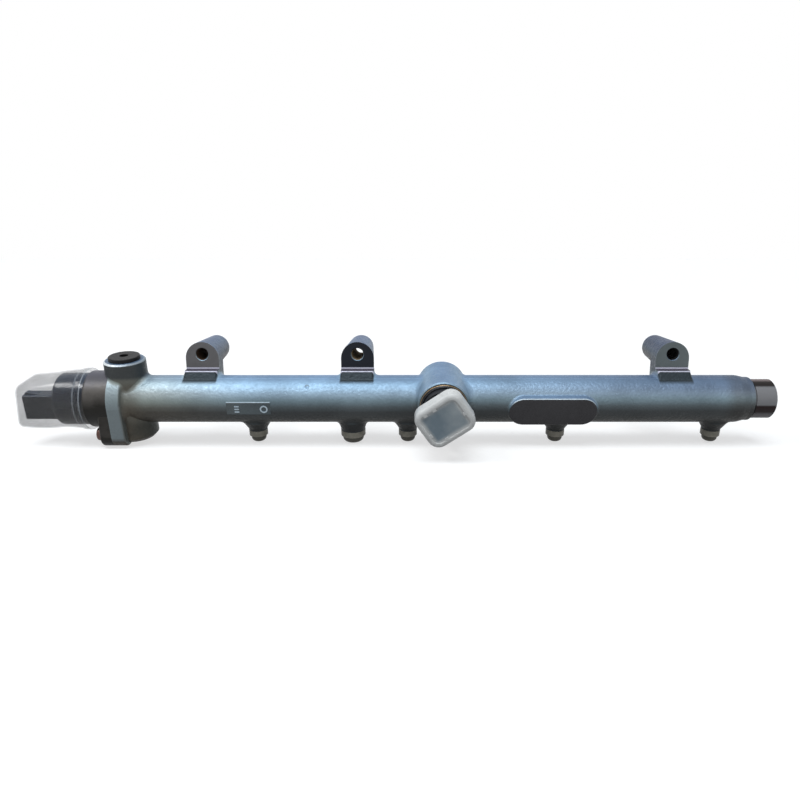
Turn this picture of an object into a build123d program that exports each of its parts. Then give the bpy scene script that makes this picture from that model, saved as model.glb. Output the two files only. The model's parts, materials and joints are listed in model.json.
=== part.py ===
from build123d import *
import math
import os

# Common-rail fuel rail: a forged steel rail with a pressure control valve on its left end, a
# pressure sensor in front, five capped high-pressure stubs below and three bolt bosses on top.
# It is modelled about the rail's own axis, which runs along X, and is moved at the end so that
# the seat of the middle bolt hole is the origin. Angles round the rail are counted from straight
# up towards the front. All sizes are in millimetres.

# Rail forging
rail_diameter = 30.0
main_bore = 10.0
flange_face_x = -179.5
rail_end_x = 234.8
flange_diameter = 38.0
flange_thickness = 8.2
flange_root = 4.0
flange_rim_round = 1.2
spigot_diameter = 24.8
spigot_length = 13.0
groove_width = 1.5
groove_depth = 0.6
collar_diameter = 27.6
collar_width = 2.5
taper_length = 5.0
taper_round = 8.0
edge_break = 0.8

# The cross drillings stand square to each other, turned forward from the bolt bosses
cross_turn = 10.0
return_angle = cross_turn
sensor_angle = cross_turn + 90
port_angle = cross_turn + 180

# Bolt bosses
bolt_x = -26.7
bolt_pitch_left = 98.0
bolt_pitch_right = 199.0
bolt_hole = 7.5
bolt_height = 28.3
boss_face_y = 1.0
boss_length = 34.0
boss_width = 20.8
boss_crown_height = 25.6
boss_tip_diameter = 16.4
boss_root_round = 3.0
web_depth = 12.0
step_height = 18.9
step_fall = 0.7
step_front_y = -4.0
step_toe_y = -11.2
step_corner = 1.5

# High-pressure stubs
outlet_places = (-92.0, 5.0, 100.6, 201.5)
inlet_x = -30.4
outlet_thread = 10.0
inlet_thread = 14.0
neck_end = 20.6
neck_shoulder = 0.8
neck_straight = 0.5
neck_base_diameter = 19.0
neck_base_height = 14.2
neck_root_round = 4.0
stub_length = 5.0
stub_nose = 2.0
port_bore = 3.0
seat_cone_depth = 1.8
seat_cone_angle = 60.0

# Return connection above the flange and the plain boss opposite it
return_x = -171.5
return_diameter = 25.0
return_height = 26.4
return_rim = 3.0
return_counterbore_depth = 4.6
return_bore = 6.0
return_root_round = return_diameter * 0.12
lower_boss_diameter = 28.0
lower_boss_height = 25.2
lower_boss_break = 2.2

# Sensor boss
sensor_x = 26.8
sensor_boss_diameter = 31.2
sensor_offset = 5.0
sensor_mouth = 26.0
sensor_back = 15.4
sensor_back_round = 3.5
sensor_root_round = 5.0
sensor_thread = 18.0
sensor_thread_depth = 17.0
sensor_drill = 3.0

# Label pad, raised land with two plain forge marks, and a nick in the forging
pad_x = 95.0
pad_angle = 110.0
pad_length = 55.0
pad_height = 19.0
pad_distance = 16.4
pad_edge_round = 0.8
pad_root_round = 1.5
land_x = -93.4
land_angle = 102.5
land_length = 27.0
land_height = 8.0
land_distance = 15.05
mark_rise = 0.35
mark_line = 0.8
mark_drop = 0.5
bar_place = -7.1
bar_length = 2.8
bar_pitch = 1.8
circle_place = 9.6
circle_diameter = 4.8
nick_x = -57.2
nick_angle = 48.6
nick_radius = 2.5
nick_depth = 0.5

# Valve pocket and flange screws
pocket_diameter = 20.0
pocket_depth = 15.0
lobe_radius = 7.5
lobe_angles = (-52.0, 150.0)
screw_thread = 5.0
screw_grip = 9.5
screw_hole_spare = 1.0
head_gap = 0.25
valve_lobe_thickness = 7.5
valve_lobe_round = 1.4
thread_gap = 0.05
pocket_lead = 0.6
relief_gap = 0.5
bolt_lead = 0.4

# Pressure control valve, outwards from the flange face
valve_diameter = 36.0
valve_length = 15.5
valve_wall = 2.0
valve_floor = 4.5
valve_rim_round = 1.6
nose_gap = 0.2
washer_thickness = 1.5
washer_bore = 11.0
chamber_diameter = 10.0
chamber_depth = 7.5
seat_length = 4.5
seat_hole = 1.2
ball_diameter = 3.0
pin_diameter = 3.0
pin_gap = 0.1
waist_depth = 1.6
waist_width = 3.0
waist_place = 9.0
groove_place = 5.3
ring_groove_width = 3.0
ring_groove_depth = 1.9
support_thickness = 0.8
magnet_tube_diameter = 15.4
armature_length = 3.6
armature_lift = 0.2
pole_length = 5.4
bobbin_wall = 1.3
winding_gap = 0.5
spring_diameter = 4.0
spring_wire = 0.7
spring_turns = 5
screw_head_diameter = 8.5
screw_head_height = 3.5
screw_socket = 3.0
screw_socket_depth = 2.0

# Valve connector moulding and its clear cap
moulding_diameter = 33.0
moulding_length = 19.5
moulding_round = 2.5
connector_height = 16.2
connector_width = 11.0
connector_length = 23.2
connector_drop = 4.4
connector_corner = 1.5
connector_wall = 1.7
socket_depth = 15.0
pin_pitch = 5.0
pin_width = 0.9
pin_length = 11.0
latch_length = 8.5
latch_width = 5.0
latch_rise = 1.0
latch_setback = 0.5
clear_wall = 1.0
clear_start = 0.3
clear_rim_diameter = 38.6
clear_rim_length = 4.3
clear_rim_step = 1.0
clear_drum_taper = 1.2
clear_shoulder_setback = 0.8
clear_shoulder_length = 7.0
clear_box_width = 30.0
clear_box_height = 32.9
clear_box_corner = 9.0
clear_box_drop = 1.2
clear_brow_length = 5.6
clear_brow_inset = 2.7
clear_end_gap = 7.0
clear_end_width = 17.0
clear_end_height = 16.6
clear_end_corner = 4.5
clear_end_drop = 1.6
clear_round_margin = 0.01

# Pressure sensor, outwards along its axis
sensor_flange_diameter = 28.6
sensor_flange_thickness = 2.0
sensor_collar_diameter = 22.0
sensor_collar_height = 2.0
sensor_recess_diameter = 18.4
sensor_recess_depth = 1.6
board_thickness = 0.9
sensor_washer_thickness = 1.0
sensor_nose_diameter = 10.0
sensor_nose_length = 2.0
housing_skirt_diameter = 24.8
housing_skirt_height = 5.0
housing_diameter = 21.6
housing_end = 43.5
sensor_socket_width = 13.0
sensor_socket_height = 8.0
sensor_socket_depth = 9.0
sensor_pin_pitch = 3.5
sensor_pin_length = 7.0

# White cap over the sensor's connector
cap_length = 31.0
cap_width = 26.4
cap_corner = 7.0
cap_turn = 34.5
cap_start = 39.5
cap_end = 48.5
cap_wall = 1.2
cap_edge_round = 2.6
cap_panel_margin = 3.2
cap_panel_corner = 4.0
cap_panel_sink = 0.7
cap_sleeve_gap = 0.1
nub_length = 2.2
nub_width = 1.4
nub_angles = (0.0, 0.0, 90.0, 180.0, 270.0)
nub_shares = (-0.6, -0.1, -0.3, 0.4, 0.2)

# Port caps, return plug and end plug
cap_skin = 0.8
cap_gap = 0.1
cap_foot_gap = 0.2
port_cap_collar = 3.8
port_cap_step = 1.2
port_cap_end = 3.2
port_cap_round = 2.4
plug_proud = 2.4
plug_hole = 5.4
plug_hole_depth = 4.0
plug_round = 0.5
end_thread = 16.0
end_plug_length = 11.5
end_plug_sink = 0.6
end_plug_key = 8.0
end_plug_key_depth = 6.0
end_plug_lead = 1.0


def direction(angle):
    turn = math.radians(angle)
    return Vector(0, -math.sin(turn), math.cos(turn))


def across(x, angle, offset=0.0):
    # A plane square to the rail's axis line, its normal pointing out at the angle; the offset
    # moves it sideways round the rail.
    side = direction(angle - 90) * offset
    return Plane(Vector(x, 0, 0) + side, x_dir=(1, 0, 0), z_dir=direction(angle))


def ring(outline):
    return revolve(Plane.XZ * make_face(Polyline(*outline, close=True)), Axis.Z)


def edge_near(shape, point):
    return shape.edges().filter_by(GeomType.CIRCLE).sort_by_distance(point)[0]


def drill(diameter, start, end):
    return Pos(0, 0, (start + end) / 2) * Cylinder(diameter / 2, abs(end - start))


def forged_on(body, feature, softness):
    # Joins a forged feature to the rail and rounds the corner between them
    whole = body + feature
    return whole.fillet(softness, new_edges(body, feature, combined=whole))


def rail_tube():
    # Tube, shoulder, collar, groove and bright spigot, turned about the rail's axis
    tube = rail_diameter / 2
    collar = collar_diameter / 2
    spigot = spigot_diameter / 2
    spigot_x = rail_end_x - spigot_length
    groove_x = spigot_x - groove_width
    taper_x = groove_x - collar_width - taper_length
    outline = make_face(Polyline(
        (flange_face_x, 0),
        (flange_face_x, tube),
        (taper_x, tube),
        (taper_x + taper_length, collar),
        (groove_x, collar),
        (groove_x, spigot - groove_depth),
        (spigot_x, spigot - groove_depth),
        (spigot_x, spigot),
        (rail_end_x, spigot),
        (rail_end_x, 0),
        close=True,
    ))
    shape = revolve(Plane.XZ * outline, Axis.X)
    shape = fillet(edge_near(shape, (taper_x, 0, tube)), taper_round)
    return chamfer(edge_near(shape, (rail_end_x, 0, spigot)), edge_break)


def flange():
    shape = extrude(flange_outline(flange_diameter), -flange_thickness)
    shape = fillet(shape.edges().group_by(Axis.Z)[0], flange_rim_round)
    return valve_plane() * shape


def lobe_places():
    # Places of the two flange lobes in valve_plane's axes, their angles counted from the return boss
    radius = valve_diameter / 2 + head_gap + screw_head_diameter / 2
    turns = [math.radians(angle) for angle in lobe_angles]
    return [(radius * math.sin(turn), radius * math.cos(turn)) for turn in turns]


def flange_outline(body_diameter, grow=0.0):
    # A round body and two screw lobes joined by straight tangents
    edges = Circle(body_diameter / 2 + grow).edges()
    for place in lobe_places():
        edges += (Pos(*place) * Circle(lobe_radius + grow)).edges()
    return make_hull(edges)


def arch(y, width, crown_height, foot_height):
    # The boss's outline seen along its bolt: straight legs under a half-round crown
    half = width / 2
    legs = Polyline((half, crown_height), (half, foot_height),
                    (-half, foot_height), (-half, crown_height))
    crown = ThreePointArc((-half, crown_height), (0, crown_height + half), (half, crown_height))
    return Plane((0, y, 0), x_dir=(1, 0, 0), z_dir=(0, -1, 0)) * make_face(legs + crown)


def side_profile(points, width):
    # A prism along the rail from its outline in Y and Z
    return Pos(-width / 2, 0, 0) * extrude(Plane.YZ * make_face(Polyline(*points, close=True)), width)


def bolt_boss(x):
    # A faced arch and web, drawn out rearwards into a tapering barrel
    back_y = boss_face_y + boss_length
    web_y = boss_face_y + web_depth
    share = web_depth / boss_length
    web_width = boss_width + (boss_tip_diameter - boss_width) * share
    web_crown = boss_crown_height + (bolt_height - boss_crown_height) * share
    base = rail_diameter / 5
    web = loft([arch(boss_face_y, boss_width, boss_crown_height, base),
                arch(web_y, web_width, web_crown, base)])
    rear_planes = [Plane((0, web_y, 0), x_dir=(1, 0, 0), z_dir=(0, -1, 0)),
                   Plane((0, back_y, 0), x_dir=(1, 0, 0), z_dir=(0, -1, 0))]
    barrel = loft([rear_planes[0] * Pos(0, web_crown) * Circle(web_width / 2),
                   rear_planes[1] * Pos(0, bolt_height) * Circle(boss_tip_diameter / 2)])
    # The step below the face slopes out to the rail
    inner_y = boss_face_y + web_depth / 4
    step = side_profile([(inner_y, base), (inner_y, step_height), (boss_face_y, step_height),
                         (step_front_y, step_height - step_fall), (step_toe_y, base)], boss_width)
    corners = step.edges().filter_by(Axis.X, reverse=True).sort_by(Axis.Y)[:2]
    return Pos(x, 0, 0) * (web + barrel + fillet(corners, step_corner))


def bolt_places():
    return [bolt_x - bolt_pitch_left, bolt_x, bolt_x + bolt_pitch_right]


def ports():
    return [(inlet_x, inlet_thread)] + [(x, outlet_thread) for x in outlet_places]


def port_neck(x, thread):
    # A conical forged neck that ends in a short threaded stub with a tapered nose
    neck = thread / 2 + neck_shoulder
    nose = neck_end + stub_length
    base = neck_base_diameter / 2
    outline = Polyline(
        (0, rail_diameter / 4),
        (base, rail_diameter / 4),
        (base, neck_base_height),
        (neck, neck_end - neck_straight),
        (neck, neck_end),
        (thread / 2, neck_end),
        (thread / 2, nose - stub_nose),
        (thread / 2 - stub_nose, nose),
        (0, nose),
        close=True,
    )
    return across(x, port_angle) * revolve(Plane.XZ * make_face(outline), Axis.Z)


def port_drilling(x):
    nose = neck_end + stub_length
    mouth = port_bore / 2 + seat_cone_depth * math.tan(math.radians(seat_cone_angle / 2))
    cone = Pos(0, 0, nose - seat_cone_depth / 2) * Cone(port_bore / 2, mouth, seat_cone_depth)
    return across(x, port_angle) * (drill(port_bore, 0, nose) + cone)


def sensor_plane():
    return across(sensor_x, sensor_angle, sensor_offset)


def sensor_boss():
    length = sensor_mouth + sensor_back
    boss = Pos(0, 0, (sensor_mouth - sensor_back) / 2) * Cylinder(sensor_boss_diameter / 2, length)
    boss = fillet(boss.edges().sort_by(Axis.Z)[0], sensor_back_round)
    boss = chamfer(boss.edges().sort_by(Axis.Z)[-1], edge_break)
    return sensor_plane() * boss


def label_pad():
    # A bare stadium-shaped land on the lower front
    land = Pos(0, 0, pad_distance / 2) * extrude(SlotOverall(pad_length, pad_height), pad_distance / 2)
    land = fillet(land.edges().group_by(Axis.Z)[-1], pad_edge_round)
    return across(pad_x, pad_angle) * land


def marked_land():
    # A low rectangular land that carries three short bars and a circle
    land = block(land_length, land_height, land_distance / 2, land_distance)
    top = land_distance + mark_rise
    for row in (-1, 0, 1):
        land += Pos(bar_place, row * bar_pitch - mark_drop) * block(
            bar_length, mark_line, land_distance / 2, top)
    circle = drill(circle_diameter, land_distance, top)
    circle -= drill(circle_diameter - 2 * mark_line, land_distance, top)
    return across(land_x, land_angle) * (land + Pos(circle_place, -mark_drop) * circle)


def cross_bosses():
    # The return boss, then the plain boss opposite it
    upper = drill(return_diameter, 0, return_height)
    upper = chamfer(upper.edges().sort_by(Axis.Z)[-1], edge_break)
    lower = drill(lower_boss_diameter, -lower_boss_height, 0)
    lower = chamfer(lower.edges().sort_by(Axis.Z)[0], lower_boss_break)
    plane = across(return_x, return_angle)
    return plane * upper, plane * lower


def rail_body():
    upper, lower = cross_bosses()
    body = forged_on(rail_tube(), flange(), flange_root)
    body = forged_on(body, upper, return_root_round)
    body += lower
    for x in bolt_places():
        body = forged_on(body, bolt_boss(x), boss_root_round)
    for x, thread in ports():
        body = forged_on(body, port_neck(x, thread), neck_root_round)
    body = forged_on(body, sensor_boss(), sensor_root_round)
    body = forged_on(body, label_pad(), pad_root_round)
    body += marked_land()
    return body - rail_cuts()


def return_counterbore():
    return return_diameter - 2 * return_rim


def rail_cuts():
    length = rail_end_x - flange_face_x
    bore_plane = Plane((flange_face_x, 0, 0), x_dir=(0, 0, -1), z_dir=(1, 0, 0))
    cuts = [bore_plane * drill(main_bore, 0, length)]
    # Screwed closure in the spigot
    plug_seat = length - end_plug_length - end_plug_sink
    cuts.append(bore_plane * drill(end_thread, plug_seat, length))
    # Valve pocket, its lead-in and the relief that the valve's flange needs under the cross boss
    mouth = Pos(0, 0, -pocket_lead / 2) * Cone(pocket_diameter / 2, pocket_diameter / 2 + pocket_lead,
                                               pocket_lead)
    relief = extrude(flange_outline(valve_diameter, relief_gap), return_diameter)
    below = Pos(0, -return_diameter, return_diameter / 2) * Box(
        4 * return_diameter, valve_diameter + 2 * return_diameter, return_diameter)
    pocket = drill(pocket_diameter, -pocket_depth, 0)
    holes = [Pos(*place) * drill(screw_thread + 2 * thread_gap, -screw_grip - screw_hole_spare, 0)
             for place in lobe_places()]
    cuts += [valve_plane() * shape for shape in [mouth, relief, below, pocket, *holes]]
    # Return drilling and its counterbore
    cuts.append(across(return_x, return_angle) * (
        drill(return_bore, 0, return_height)
        + drill(return_counterbore(), return_height - return_counterbore_depth, return_height)))
    # Bolt holes
    for x in bolt_places():
        bolt_plane = Plane((x, boss_face_y, bolt_height), x_dir=(1, 0, 0), z_dir=(0, -1, 0))
        lead = Pos(0, 0, -bolt_lead / 2) * Cone(bolt_hole / 2, bolt_hole / 2 + bolt_lead, bolt_lead)
        cuts.append(bolt_plane * (drill(bolt_hole, -boss_length, 0) + lead))
    # Sensor thread and drilling
    floor = sensor_mouth - sensor_thread_depth
    cuts.append(sensor_plane() * (drill(sensor_thread + 2 * thread_gap, floor, sensor_mouth)
                                  + drill(sensor_drill, 0, floor)))
    cuts += [port_drilling(x) for x, thread in ports()]
    nick_height = rail_diameter / 2 + nick_radius - nick_depth
    cuts.append(across(nick_x, nick_angle) * Pos(0, 0, nick_height) * Sphere(nick_radius))
    return cuts


def valve_plane():
    # Origin on the flange face, local Z outwards to the left, local Y up along the return boss
    up = direction(return_angle)
    out = Vector(-1, 0, 0)
    return Plane((flange_face_x, 0, 0), x_dir=up.cross(out), z_dir=out)


def hexagon(across_flats, start, end):
    shape = RegularPolygon(across_flats / 2, 6, major_radius=False)
    return Pos(0, 0, start) * extrude(shape, end - start)


def block(length, height, start, end, corner=0.0):
    outline = RectangleRounded(length, height, corner) if corner else Rectangle(length, height)
    return Pos(0, 0, start) * extrude(outline, end - start)


def valve_body():
    # Magnet pot, screw flange and nose in one steel turning
    outer = valve_diameter / 2
    nose = pocket_diameter / 2 - nose_gap
    nose_end = -(pocket_depth - washer_thickness)
    pot = drill(valve_diameter, 0, valve_length)
    pot = fillet(edge_near(pot, (outer, 0, valve_length)), valve_rim_round)
    lobes = extrude(flange_outline(valve_diameter - 2 * valve_rim_round), valve_lobe_thickness)
    lobes = fillet(lobes.edges().group_by(Axis.Z)[-1], valve_lobe_round)
    body = pot + lobes + drill(2 * nose, nose_end, 0)
    cavity = drill(valve_diameter - 2 * valve_wall, valve_floor, valve_length)
    chamber = drill(chamber_diameter, nose_end, nose_end + chamber_depth)
    guide = drill(pin_diameter + 2 * pin_gap, nose_end, valve_floor)
    groove = ring([(nose - ring_groove_depth, -groove_place), (nose + 1, -groove_place),
                   (nose + 1, ring_groove_width - groove_place),
                   (nose - ring_groove_depth, ring_groove_width - groove_place)])
    waist = ring([(nose - waist_depth, -waist_place - waist_width / 2),
                  (nose + 1, -waist_place - waist_width / 2),
                  (nose + 1, -waist_place + waist_width / 2),
                  (nose - waist_depth, -waist_place + waist_width / 2)])
    outflow = Pos(0, 0, -waist_place + waist_width / 4) * Rot(90, 0, 0) * Cylinder(
        pin_diameter / 2 - pin_gap, 2 * nose)
    holes = [Pos(*place) * drill(screw_thread + 4 * thread_gap, 0, valve_lobe_thickness)
             for place in lobe_places()]
    return valve_plane() * (body - [cavity, chamber, guide, groove, waist, outflow, *holes])


def valve_seals():
    # O-ring, support ring and soft-iron washer round the nose
    groove_floor = pocket_diameter / 2 - nose_gap - ring_groove_depth
    bore = pocket_diameter / 2
    section = (bore - groove_floor) / 2
    top = ring_groove_width - groove_place
    o_ring = Pos(0, 0, top - section) * Torus(groove_floor + section, section - thread_gap)
    support = drill(2 * (bore - thread_gap), -groove_place, support_thickness - groove_place)
    support -= drill(2 * (groove_floor + thread_gap), -groove_place, support_thickness - groove_place)
    washer = drill(pocket_diameter - 2 * nose_gap, -pocket_depth, washer_thickness - pocket_depth)
    washer -= drill(washer_bore, -pocket_depth, washer_thickness - pocket_depth)
    return {"valve_o_ring": o_ring, "valve_support_ring": support, "valve_sealing_washer": washer}


def valve_inside():
    # Seat, ball, armature with its pin, pole core, spring, bobbin and winding
    nose_end = -(pocket_depth - washer_thickness)
    seat_top = nose_end + seat_length
    seat = drill(chamber_diameter - 2 * thread_gap, nose_end, seat_top)
    seat -= drill(seat_hole, nose_end, seat_top)
    half_cone = ball_diameter / 2
    seat -= Pos(0, 0, seat_top - half_cone / 2) * Cone(0.001, half_cone, half_cone)
    # The ball touches a right-angled cone whose tip is half a ball diameter below the seat's face
    ball_height = seat_top - half_cone + ball_diameter / 2 * math.sqrt(2)
    ball = Pos(0, 0, ball_height) * Sphere(ball_diameter / 2 - pin_gap / 2)
    armature_start = valve_floor + armature_lift
    armature_end = armature_start + armature_length
    pin_end = ball_height + ball_diameter / 2
    armature = drill(magnet_tube_diameter - 2 * pin_gap, armature_start, armature_end)
    armature += drill(pin_diameter, pin_end, armature_start)
    pole_start = armature_end + armature_lift
    pole_end = pole_start + pole_length
    spring_room = spring_diameter + spring_wire + 2 * pin_gap
    pole = drill(magnet_tube_diameter - 2 * thread_gap, pole_start, pole_end)
    spring_end = pole_end - bobbin_wall
    pole -= drill(spring_room, pole_start, spring_end)
    free = spring_end - armature_end - spring_wire
    coil_path = Helix(free / spring_turns, free, spring_diameter / 2)
    section = Plane(coil_path @ 0, z_dir=coil_path % 0) * Circle(spring_wire / 2)
    spring = Pos(0, 0, armature_end + spring_wire / 2) * sweep(section, path=coil_path)
    spool = valve_diameter / 2 - valve_wall - thread_gap
    hub = magnet_tube_diameter / 2 + bobbin_wall
    bobbin_end = valve_length - winding_gap
    bobbin = ring([
        (magnet_tube_diameter / 2, valve_floor), (spool, valve_floor),
        (spool, valve_floor + bobbin_wall), (hub, valve_floor + bobbin_wall),
        (hub, bobbin_end - bobbin_wall), (spool, bobbin_end - bobbin_wall),
        (spool, bobbin_end), (magnet_tube_diameter / 2, bobbin_end)])
    winding = drill(2 * (spool - winding_gap), valve_floor + bobbin_wall, bobbin_end - bobbin_wall)
    winding -= drill(2 * hub, valve_floor, bobbin_end)
    return {"valve_seat": seat, "valve_ball": ball, "valve_armature": armature,
            "valve_pole_core": pole, "valve_spring": spring, "valve_bobbin": bobbin,
            "valve_winding": winding}


def valve_screws():
    screws = []
    head_top = valve_lobe_thickness + screw_head_height
    for place in lobe_places():
        screw = drill(screw_thread, -screw_grip, valve_lobe_thickness)
        head = drill(screw_head_diameter, valve_lobe_thickness, head_top)
        screw += fillet(edge_near(head, (screw_head_diameter / 2, 0, head_top)), edge_break)
        screw -= hexagon(screw_socket, head_top - screw_socket_depth, head_top)
        screws.append(valve_plane() * Pos(*place) * screw)
    return Compound(screws)


def connector_ends():
    start = valve_length + moulding_length
    return start, start + connector_length


def valve_connector():
    # Round moulding that closes the pot, with a two-pin socket drawn out towards the left
    radius = moulding_diameter / 2
    start, end = connector_ends()
    drum = drill(moulding_diameter, valve_length, start)
    drum = fillet(edge_near(drum, (radius, 0, start)), moulding_round)
    spigot = drill(valve_diameter - 2 * valve_wall - 4 * thread_gap, valve_length - winding_gap,
                   valve_length)
    shroud = Pos(0, -connector_drop) * block(connector_width, connector_height, start - moulding_length / 2,
                                             end, connector_corner)
    room = Pos(0, -connector_drop) * block(connector_width - 2 * connector_wall,
                                           connector_height - 2 * connector_wall,
                                           end - socket_depth, end)
    top = connector_height / 2 - connector_drop
    catch = end - latch_setback
    ramp = make_face(Polyline((top, catch), (top + latch_rise, catch),
                              (top, catch - latch_length), close=True))
    latch = Plane.YZ * Pos(0, 0, -latch_width / 2) * extrude(ramp, latch_width)
    return valve_plane() * (drum + spigot + shroud + latch - room)


def valve_pins():
    start, end = connector_ends()
    floor = end - socket_depth
    pins = [Pos(0, side * pin_pitch / 2 - connector_drop) * block(pin_width, pin_width, floor,
                                                                  floor + pin_length)
            for side in (-1, 1)]
    return Compound([valve_plane() * pin for pin in pins])


def clear_section(height, width, tall, corner, drop):
    outline = RectangleRounded(width, tall, corner - clear_round_margin)
    return Pos(0, -drop, height) * outline


def clear_shape(skin):
    # Round rim and drum, a shoulder down to a rounded box, and its drawn-in end; the inside is
    # the same shape one skin smaller
    start, end = connector_ends()
    rim = valve_length + clear_start
    rim_end = rim + clear_rim_length
    drum_end = start - clear_shoulder_setback
    box_start = drum_end + clear_shoulder_length
    tip = end + clear_end_gap - skin
    brow = tip - clear_brow_length
    box_end = brow - clear_brow_length
    rounds = [(rim, clear_rim_diameter), (rim_end, clear_rim_diameter - clear_rim_step),
              (drum_end, clear_rim_diameter - clear_rim_step - clear_drum_taper)]
    sections = [(height, wide - 2 * skin, wide - 2 * skin, wide / 2 - skin, 0)
                for height, wide in rounds]
    for height, inset in ((box_start, 0), (box_end, 0), (brow, clear_brow_inset)):
        trim = skin + inset
        sections.append((height, clear_box_width - 2 * trim, clear_box_height - 2 * trim,
                         clear_box_corner - trim / 2, clear_box_drop))
    sections.append((tip, clear_end_width - 2 * skin, clear_end_height - 2 * skin,
                     clear_end_corner - skin, clear_end_drop))
    return loft([clear_section(*section) for section in sections], ruled=True)


def valve_cap():
    return valve_plane() * (clear_shape(0.0) - clear_shape(clear_wall))


def sensor_body():
    # Threaded steel body with a round flange on the boss's mouth and a hollow collar
    floor = sensor_mouth - sensor_thread_depth
    nose_start = floor + sensor_washer_thickness
    flange_top = sensor_mouth + sensor_flange_thickness
    collar_top = flange_top + sensor_collar_height
    body = drill(sensor_nose_diameter, nose_start, nose_start + sensor_nose_length)
    body += drill(sensor_thread, nose_start + sensor_nose_length, sensor_mouth)
    flange = drill(sensor_flange_diameter, sensor_mouth, flange_top)
    body += chamfer(edge_near(flange, (sensor_flange_diameter / 2, 0, flange_top)), edge_break)
    body += drill(sensor_collar_diameter, flange_top, collar_top)
    body -= drill(sensor_recess_diameter, collar_top - sensor_recess_depth, collar_top)
    return sensor_plane() * (body - drill(sensor_drill, nose_start, sensor_mouth))


def sensor_inside():
    floor = sensor_mouth - sensor_thread_depth
    washer = drill(sensor_nose_diameter, floor, floor + sensor_washer_thickness)
    washer -= drill(sensor_drill, floor, floor + sensor_washer_thickness)
    collar_top = sensor_mouth + sensor_flange_thickness + sensor_collar_height
    board_base = collar_top - sensor_recess_depth
    board = drill(sensor_recess_diameter - 2 * pin_gap, board_base, board_base + board_thickness)
    pin_base = housing_end - sensor_socket_depth
    pins = [sensor_plane() * Pos(place * sensor_pin_pitch) * block(
        pin_width, pin_width, pin_base, pin_base + sensor_pin_length) for place in (-1, 0, 1)]
    return {"sensor_washer": sensor_plane() * washer, "sensor_board": sensor_plane() * board,
            "sensor_pins": Compound(pins)}


def sensor_housing():
    # Black connector moulding that covers the steel collar
    flange_top = sensor_mouth + sensor_flange_thickness
    collar_top = flange_top + sensor_collar_height
    skirt_top = flange_top + housing_skirt_height
    skirt = drill(housing_skirt_diameter, flange_top, skirt_top)
    skirt = fillet(edge_near(skirt, (housing_skirt_diameter / 2, 0, skirt_top)), edge_break)
    housing = skirt + drill(housing_diameter, flange_top, housing_end)
    housing -= drill(sensor_collar_diameter + 2 * thread_gap, flange_top, collar_top)
    socket = block(sensor_socket_width, sensor_socket_height, housing_end - sensor_socket_depth,
                   housing_end, edge_break)
    return sensor_plane() * (housing - socket)


def sensor_cap():
    # Soft white cap: a rounded cover with an inner sleeve that grips the connector
    cover = block(cap_length, cap_width, cap_start, cap_end, cap_corner)
    cover = fillet(cover.edges().group_by(Axis.Z)[-1], cap_edge_round)
    roof = cap_end - 2 * cap_wall
    cover -= block(cap_length - 2 * cap_wall, cap_width - 2 * cap_wall, cap_start, roof,
                   cap_corner - cap_wall)
    panel_floor = cap_end - cap_panel_sink
    panel = (cap_length - 2 * cap_panel_margin, cap_width - 2 * cap_panel_margin)
    cover -= block(*panel, panel_floor, cap_end, cap_panel_corner)
    bore = housing_diameter + 2 * cap_sleeve_gap
    cover += drill(bore + 2 * cap_wall, cap_start, roof) - drill(bore, cap_start, roof)
    # Small nubs round the sunk panel, placed by their share of the half side that they stand on
    for angle, share in zip(nub_angles, nub_shares):
        along, depth = panel if angle in (0, 180) else reversed(panel)
        cover += Rot(0, 0, angle) * Pos(share * along / 2, (depth - nub_width) / 2) * block(
            nub_length, nub_width, panel_floor, cap_end)
    return sensor_plane() * Rot(0, 0, cap_turn) * cover


def port_cap(x, thread):
    # Moulded cap over the stub: a collar with a narrower rounded end
    inner = thread / 2 + cap_gap
    outer = inner + cap_skin
    foot = neck_end + cap_foot_gap
    collar_top = foot + port_cap_collar
    nose = neck_end + stub_length + cap_gap
    end = nose + port_cap_end
    outline = Polyline(
        (inner, foot),
        (outer, foot),
        (outer, collar_top),
        (outer - port_cap_step, collar_top),
        (outer - port_cap_step, end),
        (0, end),
        (0, nose),
        (inner - stub_nose, nose),
        (inner, nose - stub_nose),
        close=True,
    )
    cap = revolve(Plane.XZ * make_face(outline), Axis.Z)
    cap = fillet(edge_near(cap, (outer - port_cap_step, 0, end)), port_cap_round)
    return across(x, port_angle) * cap


def return_plug():
    radius = return_counterbore() / 2 - cap_gap
    floor = return_height - return_counterbore_depth
    top = return_height + plug_proud
    plug = drill(2 * radius, floor, top)
    plug = fillet(edge_near(plug, (radius, 0, top)), plug_round)
    return across(return_x, return_angle) * (plug - drill(plug_hole, top - plug_hole_depth, top))


def end_plug():
    # Hexagon-socket screw plug that closes the drilled rail
    start = rail_end_x - end_plug_sink
    plane = Plane((start, 0, 0), x_dir=(0, 0, -1), z_dir=(1, 0, 0))
    plug = drill(end_thread - 2 * thread_gap, -end_plug_length, 0)
    plug = chamfer(edge_near(plug, (end_thread / 2, 0, -end_plug_length)), end_plug_lead)
    return plane * (plug - hexagon(end_plug_key, -end_plug_key_depth, 0))


def all_parts():
    parts = {"rail_body": rail_body(), "end_plug": end_plug(), "return_plug": return_plug()}
    parts["valve_body"] = valve_body()
    for name, shape in (valve_seals() | valve_inside()).items():
        parts[name] = valve_plane() * shape
    parts["valve_screws"] = valve_screws()
    parts["valve_connector"] = valve_connector()
    parts["valve_pins"] = valve_pins()
    parts["valve_clear_cap"] = valve_cap()
    parts["sensor_body"] = sensor_body()
    parts |= sensor_inside()
    parts["sensor_housing"] = sensor_housing()
    parts["sensor_cap"] = sensor_cap()
    parts["inlet_cap"] = port_cap(inlet_x, inlet_thread)
    for number, x in enumerate(outlet_places, 1):
        parts[f"outlet_cap_{number}"] = port_cap(x, outlet_thread)
    return parts


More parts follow.
